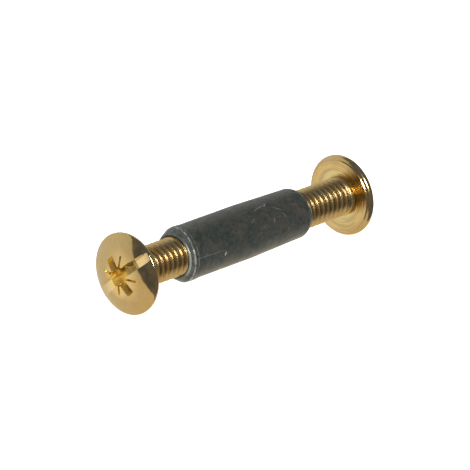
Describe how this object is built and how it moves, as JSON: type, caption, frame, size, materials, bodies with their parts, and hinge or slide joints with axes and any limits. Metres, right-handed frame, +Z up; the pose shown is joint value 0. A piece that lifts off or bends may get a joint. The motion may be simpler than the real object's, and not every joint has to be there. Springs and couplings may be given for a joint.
{
  "type": "threaded sleeve spacer with cap screws",
  "caption": "Internally threaded dark steel sleeve with a wide domed, brass-coloured slotted screw in either end, spacing and clamping panels between the heads.",
  "frame": {"origin": "on the sleeve's axis, midway between the outsides of the screw heads as they stand", "axes": "+X along the axis, from the near screw's head to the far screw's head; +Z up with the part lying on the rims of its heads; +Y completes the right-handed frame"},
  "size_m": [0.0492, 0.0122, 0.0122],
  "materials": {
    "dark_steel": "dark, oily mill finish, slightly mottled",
    "bright_brass": "polished bright yellow plating"
  },
  "bodies": {
    "sleeve": {"spacer_sleeve": "dark_steel"},
    "near_screw_body": {"near_screw": "bright_brass"},
    "far_screw_body": {"far_screw": "bright_brass"}
  },
  "joints": [
    {"name": "near_screw_travel", "type": "slide", "parent": "sleeve", "child": "near_screw_body", "axis": [-1, 0, 0], "range_m": [-0.006, 0.008]},
    {"name": "far_screw_travel", "type": "slide", "parent": "sleeve", "child": "far_screw_body", "axis": [1, 0, 0], "range_m": [-0.006, 0.008]}
  ]
}
